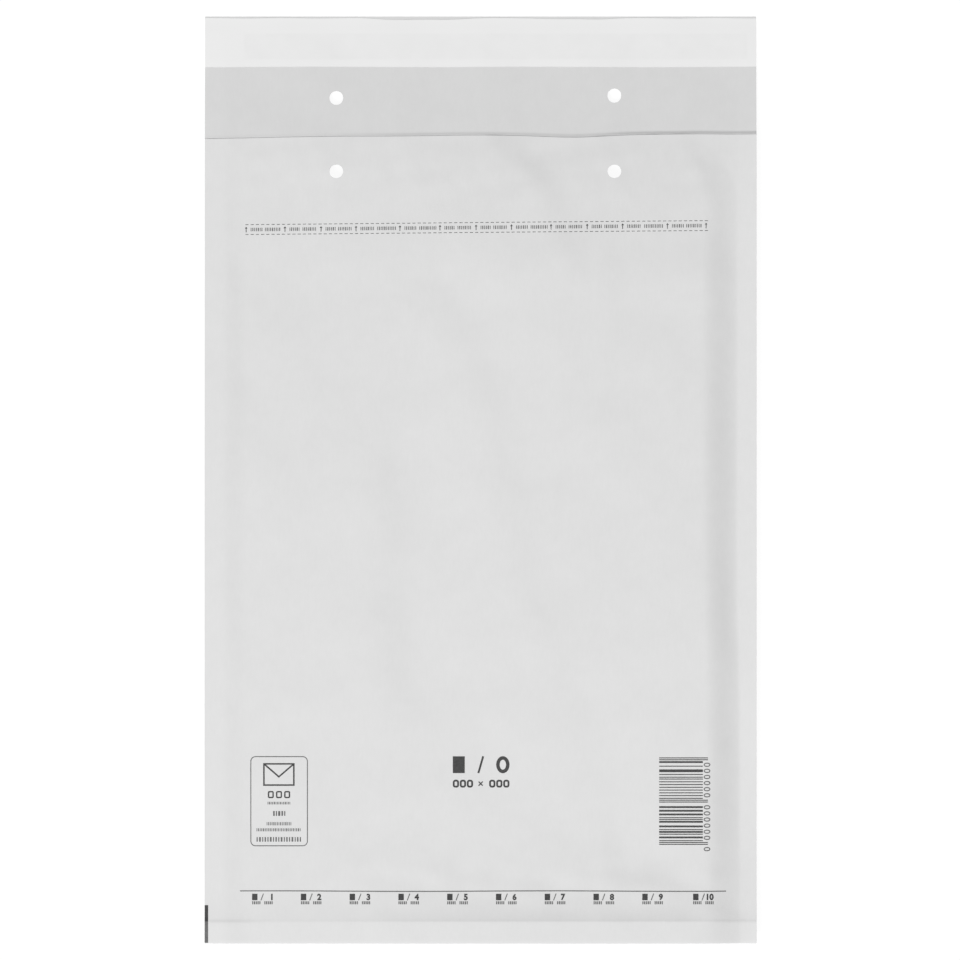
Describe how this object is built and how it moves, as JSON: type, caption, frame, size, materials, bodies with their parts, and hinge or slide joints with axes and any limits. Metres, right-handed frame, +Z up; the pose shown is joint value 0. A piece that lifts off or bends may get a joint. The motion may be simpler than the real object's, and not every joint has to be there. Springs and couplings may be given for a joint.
{
  "type": "padded envelope",
  "caption": "White paper mailing envelope padded with bubble film, with flat seams, a peel-and-seal flap lying open, and punched holes for fasteners.",
  "frame": {"origin": "on the resting plane, under the middle of the whole outline with the flap open", "axes": "+Z up out of the printed front, +Y towards the flap, +X to the right of someone reading the front"},
  "size_m": [0.24, 0.403, 0.0101],
  "materials": {
    "outer_paper": "matt bleached kraft paper",
    "bubble_liner": "clear, slightly milky bubble film",
    "adhesive_strip": "clear hot-melt adhesive",
    "release_liner": "smooth silicone-coated paper"
  },
  "bodies": {
    "root": {"outer_paper": "outer_paper", "bubble_liner": "bubble_liner", "adhesive_strip": "adhesive_strip", "release_liner": "release_liner"}
  },
  "joints": []
}
